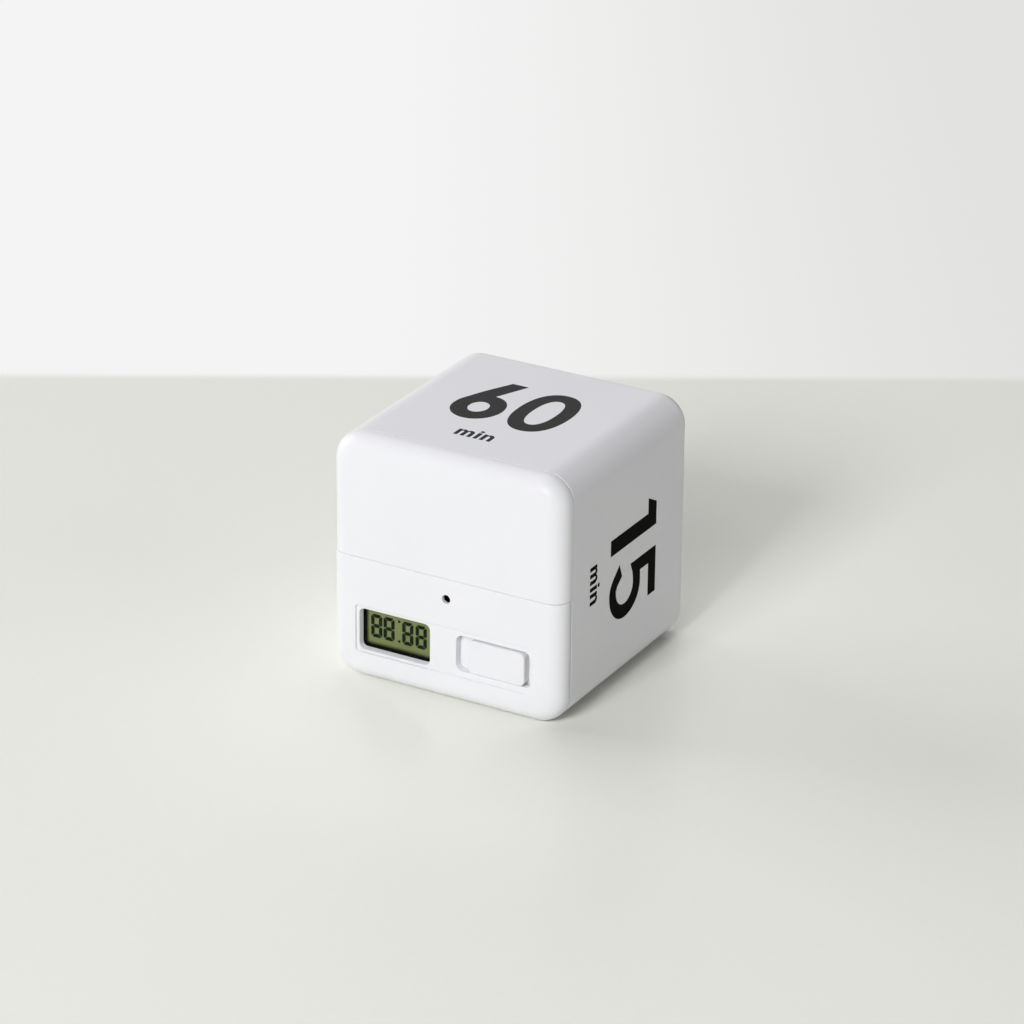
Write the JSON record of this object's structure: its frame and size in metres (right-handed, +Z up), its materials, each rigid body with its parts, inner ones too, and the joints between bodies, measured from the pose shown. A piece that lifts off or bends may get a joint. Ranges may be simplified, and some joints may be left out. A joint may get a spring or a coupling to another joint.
{
  "type": "cube timer",
  "caption": "White cube countdown timer with rounded edges: display, slide switch and sound hole below a sliding battery door, with minutes printed on its sides.",
  "frame": {"origin": "centre of the bottom side of the cube", "axes": "+Z up; -Y is the front, with the display, the switch and the battery door; +X is to the right of someone who faces the front"},
  "size_m": [0.063, 0.063, 0.063],
  "materials": {
    "white_plastic": "satin moulded white",
    "tray_plastic": "moulded white",
    "clear_window": "clear polished sheet",
    "black_foam": "closed-cell foam",
    "display_glass": "liquid-crystal glass over a grey-green ground",
    "reflector_foil": "matte foil",
    "contact_rubber": "layered silicone",
    "board_laminate": "green solder mask",
    "black_epoxy": "poured epoxy",
    "steel": "nickel plated",
    "capacitor_ceramic": "fired ceramic",
    "resistor_ceramic": "fired ceramic, black coat",
    "black_plastic": "moulded black",
    "brown_laminate": "phenolic board",
    "pin_brass": "tinned brass",
    "magnet": "sintered ferrite",
    "coil_copper": "enamelled copper wire",
    "polished_steel": "polished",
    "battery_sleeve": "printed sleeve over a metal can",
    "red_insulation": "soft insulation",
    "black_insulation": "soft insulation"
  },
  "bodies": {
    "case": {"body_shell": "white_plastic", "front_panel": "white_plastic", "battery_tray": "tray_plastic", "display_lens": "clear_window", "display_gasket": "black_foam", "display_pad": "black_foam", "display_glass": "display_glass", "display_reflector": "reflector_foil", "contact_strip": "contact_rubber", "circuit_board": "board_laminate", "controller_blob": "black_epoxy", "timing_crystal": "steel", "switch_frame": "steel", "buzzer_diaphragm": "steel", "tilt_can_left": "steel", "tilt_can_right": "steel", "contact_bridge": "steel", "contact_positive": "steel", "contact_negative": "steel", "spring_bridge": "steel", "spring_negative": "steel", "case_screws": "steel", "board_screws": "steel", "chip_capacitors": "capacitor_ceramic", "chip_resistors": "resistor_ceramic", "buzzer_case": "black_plastic", "buzzer_base": "black_plastic", "tilt_plugs": "black_plastic", "switch_base": "brown_laminate", "switch_pins": "pin_brass", "tilt_pins": "pin_brass", "buzzer_magnet": "magnet", "buzzer_coil": "coil_copper", "battery_upper": "battery_sleeve", "battery_lower": "battery_sleeve", "lead_positive": "red_insulation", "lead_negative": "black_insulation"},
    "power_switch": {"switch_knob": "white_plastic", "switch_slider": "black_plastic", "switch_wiper": "pin_brass"},
    "door": {"battery_door": "white_plastic"},
    "ball_left": {"tilt_ball_left": "polished_steel"},
    "ball_right": {"tilt_ball_right": "polished_steel"}
  },
  "joints": [
    {"name": "power_slide", "type": "slide", "parent": "case", "child": "power_switch", "axis": [1, 0, 0], "range_m": [-0.002, 0]},
    {"name": "door_slide", "type": "slide", "parent": "case", "child": "door", "axis": [0, 0, 1], "range_m": [0, 0.036]},
    {"name": "ball_left_roll", "type": "slide", "parent": "case", "child": "ball_left", "axis": [0.7071, 0, 0.7071], "range_m": [0, 0.004]},
    {"name": "ball_right_roll", "type": "slide", "parent": "case", "child": "ball_right", "axis": [-0.7071, 0, 0.7071], "range_m": [0, 0.004]}
  ]
}
